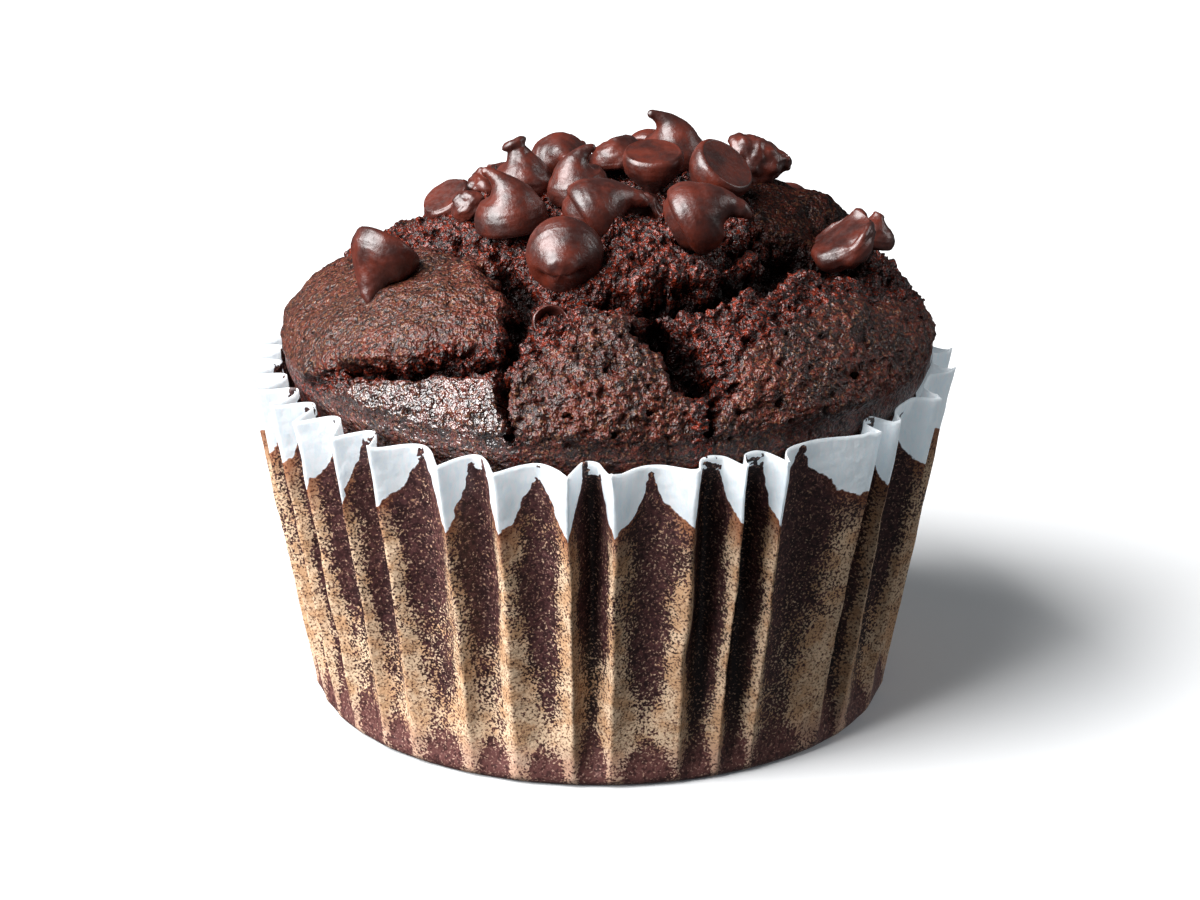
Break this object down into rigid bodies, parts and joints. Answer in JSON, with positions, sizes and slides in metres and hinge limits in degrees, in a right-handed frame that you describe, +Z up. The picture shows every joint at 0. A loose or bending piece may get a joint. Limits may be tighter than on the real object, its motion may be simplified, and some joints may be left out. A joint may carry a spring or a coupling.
{
  "type": "chocolate chip muffin",
  "caption": "Domed chocolate muffin baked in a pleated paper case, with curled chocolate chips set in its cracked top.",
  "frame": {"origin": "centre of the paper case's flat base, on the surface that the muffin stands on", "axes": "+Z up out of the base through the crown; -Y towards the side that the lone chip and the widest cracks face; +X to its right"},
  "size_m": [0.0628, 0.0627, 0.0511],
  "materials": {
    "crumb": "matte dark chocolate cake with a cracked crust and a coarse torn crumb",
    "case_paper": "greaseproof paper, white and dry along the rim, stained tan to dark brown below",
    "chocolate": "satin dark chocolate"
  },
  "bodies": {
    "root": {"paper_case": "case_paper", "chip_01": "chocolate", "chip_02": "chocolate", "chip_03": "chocolate", "chip_04": "chocolate", "chip_05": "chocolate", "chip_06": "chocolate", "chip_07": "chocolate", "chip_08": "chocolate", "chip_09": "chocolate", "chip_10": "chocolate", "chip_11": "chocolate", "chip_12": "chocolate", "chip_13": "chocolate", "chip_14": "chocolate", "chip_15": "chocolate", "chip_16": "chocolate", "chip_17": "chocolate", "chip_18": "chocolate", "chip_19": "chocolate", "chip_20": "chocolate", "chip_21": "chocolate", "chip_22": "chocolate", "chip_23": "chocolate", "chip_24": "chocolate", "chip_25": "chocolate", "chip_26": "chocolate", "chip_27": "chocolate", "chip_28": "chocolate", "muffin": "crumb"}
  },
  "joints": []
}
